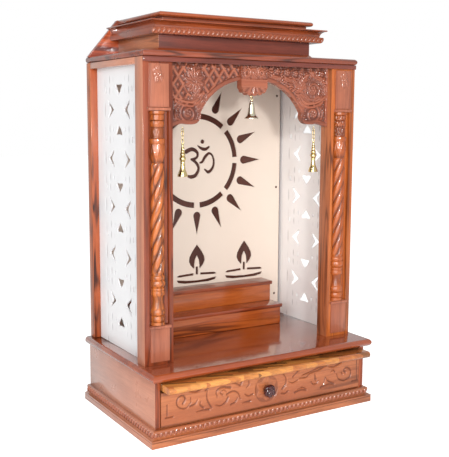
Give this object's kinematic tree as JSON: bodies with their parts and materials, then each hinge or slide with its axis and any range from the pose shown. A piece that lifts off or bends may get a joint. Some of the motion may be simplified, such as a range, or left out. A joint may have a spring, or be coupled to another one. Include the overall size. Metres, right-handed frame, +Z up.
{
  "type": "pooja mandir",
  "caption": "Free-standing wooden home shrine with carved arch, turned columns, lattice sides, sun panel, hanging bells, pull-out tray and drawer.",
  "frame": {"origin": "on the floor, under the middle of the bounding box of the shrine with its tray as in the picture", "axes": "+X to the shrine's right side as seen from the front, -Y towards its front, +Z up"},
  "size_m": [0.603, 0.402, 0.924],
  "materials": {
    "teak": "gloss lacquer over reddish brown teak",
    "pale_wood": "clear lacquer over pale wood",
    "brown_board": "satin brown stained board",
    "white_board": "white satin paint",
    "cream_board": "cream satin paint",
    "rose_knob": "dark red gloss",
    "brass": "polished"
  },
  "bodies": {
    "cabinet": {"bottom_board": "teak", "base_left_side": "teak", "base_right_side": "teak", "base_back": "brown_board", "base_front_rail": "teak", "plinth_front": "teak", "plinth_left": "teak", "plinth_right": "teak", "drawer_runners": "pale_wood", "tray_cleats": "pale_wood", "platform": "teak", "left_front_post": "teak", "right_front_post": "teak", "left_back_post": "teak", "right_back_post": "teak", "left_column": "teak", "right_column": "teak", "side_top_rails": "teak", "left_jali": "white_board", "right_jali": "white_board", "back_board": "brown_board", "sun_panel": "cream_board", "arch_board": "teak", "arch_pendant": "teak", "lower_step_riser": "teak", "lower_step_tread": "teak", "upper_step_riser": "teak", "upper_step_tread": "teak", "step_ends": "teak", "top_board": "teak", "top_strip": "teak", "frieze": "teak", "frieze_foot_front": "teak", "frieze_foot_left": "teak", "frieze_foot_right": "teak", "cornice_front": "teak", "cornice_left": "teak", "cornice_right": "teak", "crown_neck": "teak", "crown_slab": "teak", "gable_board": "teak", "bell_eyes": "brass"},
    "drawer": {"drawer_front": "teak", "drawer_left_side": "pale_wood", "drawer_right_side": "pale_wood", "drawer_back": "pale_wood", "drawer_bottom": "pale_wood", "drawer_knob": "rose_knob"},
    "tray": {"sliding_tray": "pale_wood"},
    "left_bell": {"left_bell": "brass", "left_bell_chain": "brass", "left_clapper": "brass"},
    "right_bell": {"right_bell": "brass", "right_bell_chain": "brass", "right_clapper": "brass"},
    "middle_bell": {"middle_bell": "brass", "middle_clapper": "brass"}
  },
  "joints": [
    {"name": "drawer_slide", "type": "slide", "parent": "cabinet", "child": "drawer", "axis": [0, -1, 0], "range_m": [0, 0.22]},
    {"name": "tray_slide", "type": "slide", "parent": "cabinet", "child": "tray", "axis": [0, -1, 0], "range_m": [-0.042, 0.15]},
    {"name": "left_bell_swing", "type": "hinge", "parent": "cabinet", "child": "left_bell", "pos_m": [-0.178, -0.083, 0.6658], "axis": [1, 0, 0], "range_deg": [-50, 50]},
    {"name": "right_bell_swing", "type": "hinge", "parent": "cabinet", "child": "right_bell", "pos_m": [0.178, -0.083, 0.6658], "axis": [1, 0, 0], "range_deg": [-50, 50]},
    {"name": "middle_bell_swing", "type": "hinge", "parent": "cabinet", "child": "middle_bell", "pos_m": [0, -0.083, 0.7348], "axis": [1, 0, 0], "range_deg": [-40, 40]}
  ]
}
